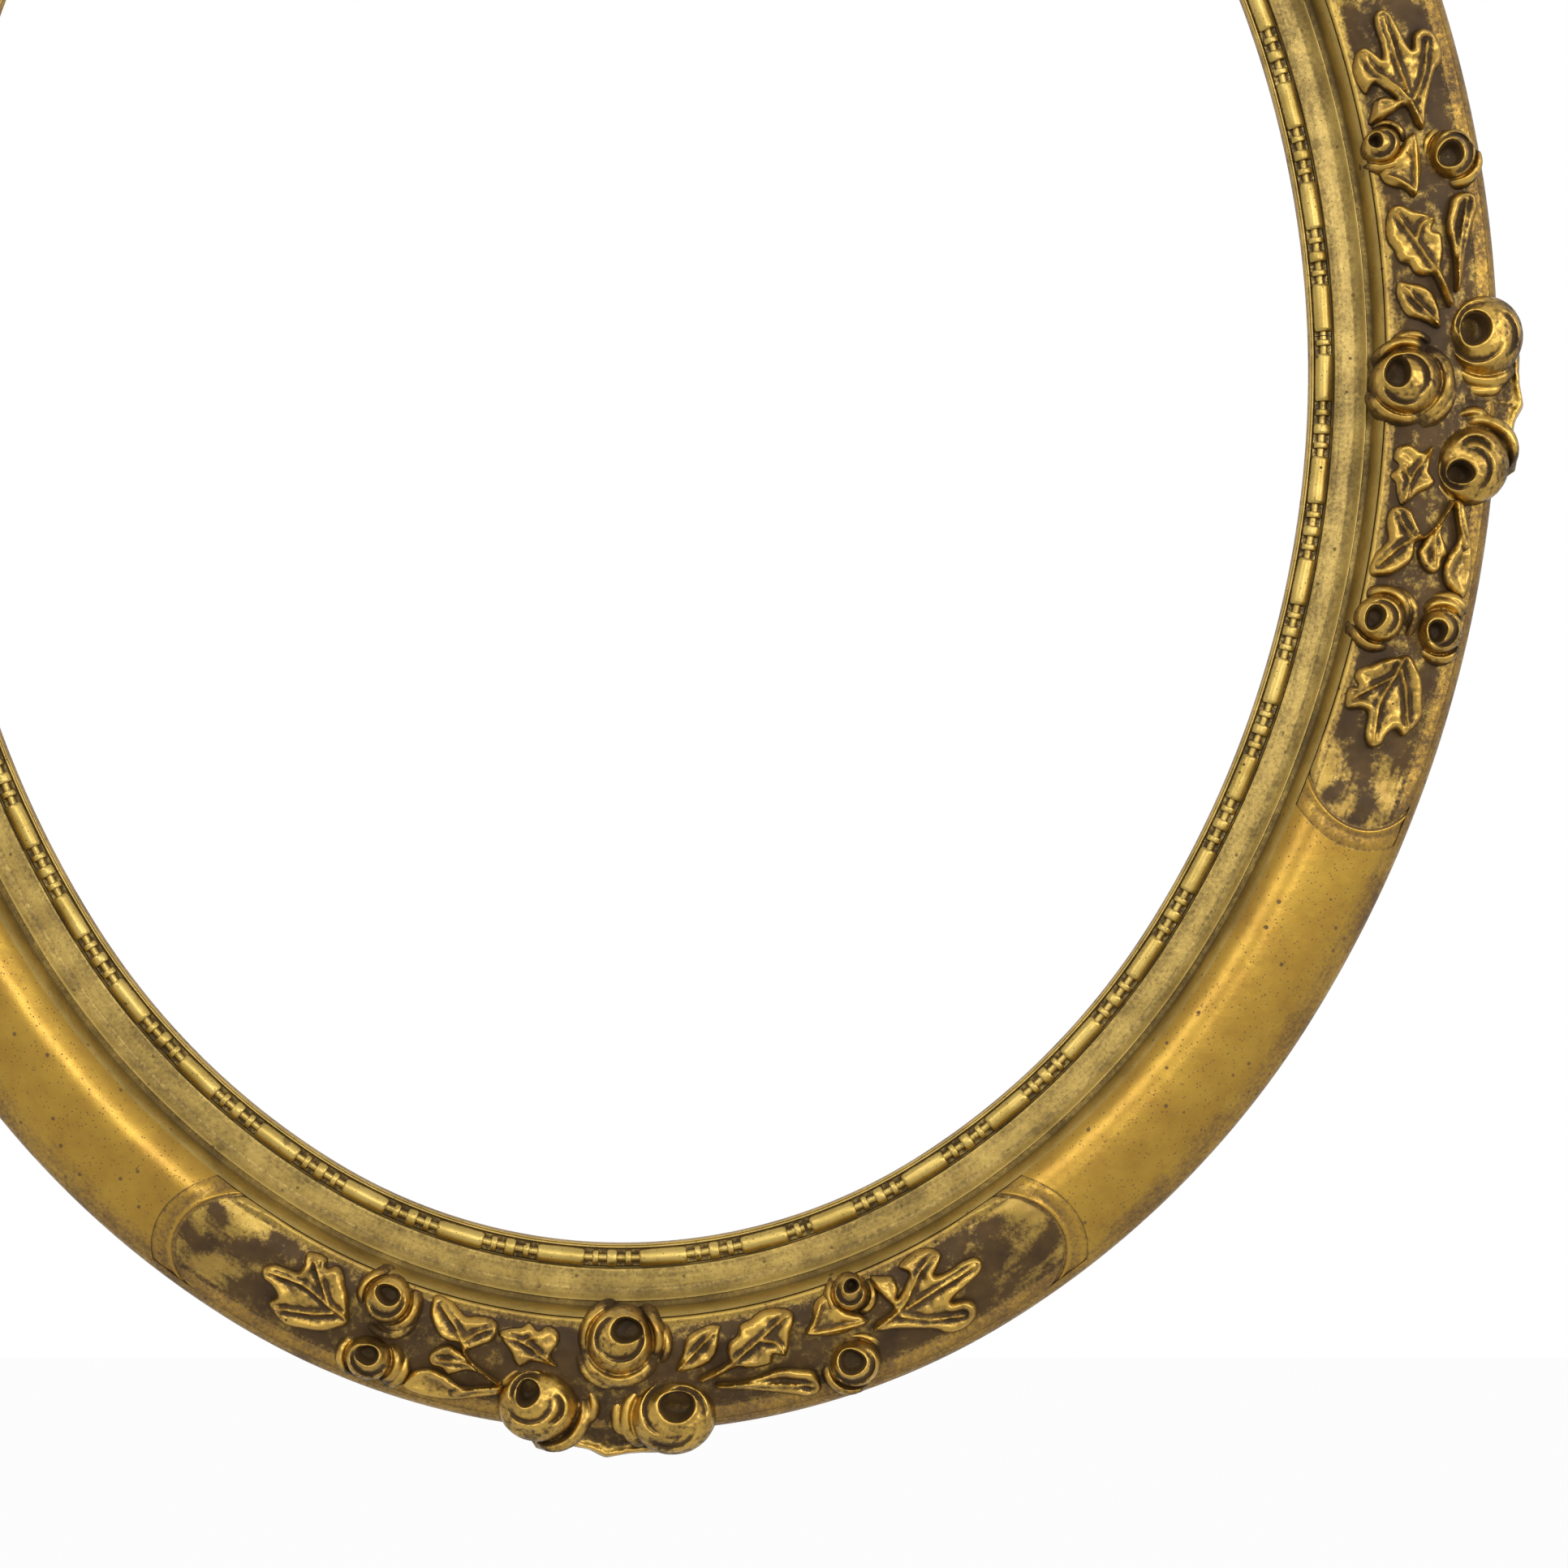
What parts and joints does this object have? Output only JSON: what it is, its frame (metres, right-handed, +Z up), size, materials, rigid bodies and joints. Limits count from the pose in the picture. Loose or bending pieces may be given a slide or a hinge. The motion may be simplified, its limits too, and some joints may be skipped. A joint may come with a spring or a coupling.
{
  "type": "picture frame",
  "caption": "Oval wooden picture frame with a half-round gilt moulding, bead-and-reel inner edge, rose and leaf swags on sunk panels, a back rebate, swinging hanging rings and turn buttons.",
  "frame": {"origin": "centre of the oval on the plane of the back, where the frame meets the wall", "axes": "+X to the viewer's right, +Z up along the long axis of the oval, +Y out of the back towards the wall; the face looks towards -Y"},
  "size_m": [0.4909, 0.0375, 0.5926],
  "materials": {
    "gilt_rail": "wood with gesso, burnished gold leaf and a thin brown toning",
    "toned_panel": "wood with rubbed gold leaf under a dark toning",
    "gilt_ornament": "moulded composition, gilded and toned",
    "gilt_beading": "turned and gilded",
    "beech_dowel": "plain",
    "plated_steel": "brass plated",
    "brass_button": "stamped and dulled",
    "steel_screw": "bright zinc"
  },
  "bodies": {
    "frame": {"back_screws": "steel_screw", "beading_run_1": "gilt_beading", "beading_run_2": "gilt_beading", "beading_run_3": "gilt_beading", "beading_run_4": "gilt_beading", "buds_left_bottom": "gilt_ornament", "buds_left_left": "gilt_ornament", "buds_left_right": "gilt_ornament", "buds_left_top": "gilt_ornament", "buds_right_bottom": "gilt_ornament", "buds_right_left": "gilt_ornament", "buds_right_right": "gilt_ornament", "buds_right_top": "gilt_ornament", "hanger_strap_left": "plated_steel", "hanger_strap_right": "plated_steel", "leaves_left_bottom": "gilt_ornament", "leaves_left_left": "gilt_ornament", "leaves_left_right": "gilt_ornament", "leaves_left_top": "gilt_ornament", "leaves_right_bottom": "gilt_ornament", "leaves_right_left": "gilt_ornament", "leaves_right_right": "gilt_ornament", "leaves_right_top": "gilt_ornament", "panel_bottom": "toned_panel", "panel_left": "toned_panel", "panel_right": "toned_panel", "panel_top": "toned_panel", "rail_bottom": "gilt_rail", "rail_dowels": "beech_dowel", "rail_left": "gilt_rail", "rail_right": "gilt_rail", "rail_top": "gilt_rail", "rose_inner_bottom": "gilt_ornament", "rose_inner_left": "gilt_ornament", "rose_inner_right": "gilt_ornament", "rose_inner_top": "gilt_ornament", "rose_left_bottom": "gilt_ornament", "rose_left_left": "gilt_ornament", "rose_left_right": "gilt_ornament", "rose_left_top": "gilt_ornament", "rose_right_bottom": "gilt_ornament", "rose_right_left": "gilt_ornament", "rose_right_right": "gilt_ornament", "rose_right_top": "gilt_ornament", "spray_left_bottom": "gilt_ornament", "spray_left_left": "gilt_ornament", "spray_left_right": "gilt_ornament", "spray_left_top": "gilt_ornament", "spray_right_bottom": "gilt_ornament", "spray_right_left": "gilt_ornament", "spray_right_right": "gilt_ornament", "spray_right_top": "gilt_ornament", "tip_leaves": "gilt_ornament"},
    "ring_left": {"hanger_ring_left": "plated_steel"},
    "ring_right": {"hanger_ring_right": "plated_steel"},
    "button_left_bottom": {"turn_button_left_bottom": "brass_button"},
    "button_left_top": {"turn_button_left_top": "brass_button"},
    "button_right_bottom": {"turn_button_right_bottom": "brass_button"},
    "button_right_top": {"turn_button_right_top": "brass_button"}
  },
  "joints": [
    {"name": "ring_left_swing", "type": "hinge", "parent": "frame", "child": "ring_left", "pos_m": [-0.20523, 0.00246, 0.09834], "axis": [1, 0, 0], "range_deg": [0, 178]},
    {"name": "ring_right_swing", "type": "hinge", "parent": "frame", "child": "ring_right", "pos_m": [0.20523, 0.00246, 0.09834], "axis": [1, 0, 0], "range_deg": [0, 178]},
    {"name": "button_right_top_turn", "type": "hinge", "parent": "frame", "child": "button_right_top", "pos_m": [0.15111, 0.00085, 0.18325], "axis": [0, 1, 0], "continuous": true},
    {"name": "button_right_bottom_turn", "type": "hinge", "parent": "frame", "child": "button_right_bottom", "pos_m": [0.15111, 0.00085, -0.18325], "axis": [0, 1, 0], "continuous": true},
    {"name": "button_left_top_turn", "type": "hinge", "parent": "frame", "child": "button_left_top", "pos_m": [-0.15111, 0.00085, 0.18325], "axis": [0, 1, 0], "continuous": true},
    {"name": "button_left_bottom_turn", "type": "hinge", "parent": "frame", "child": "button_left_bottom", "pos_m": [-0.15111, 0.00085, -0.18325], "axis": [0, 1, 0], "continuous": true}
  ]
}
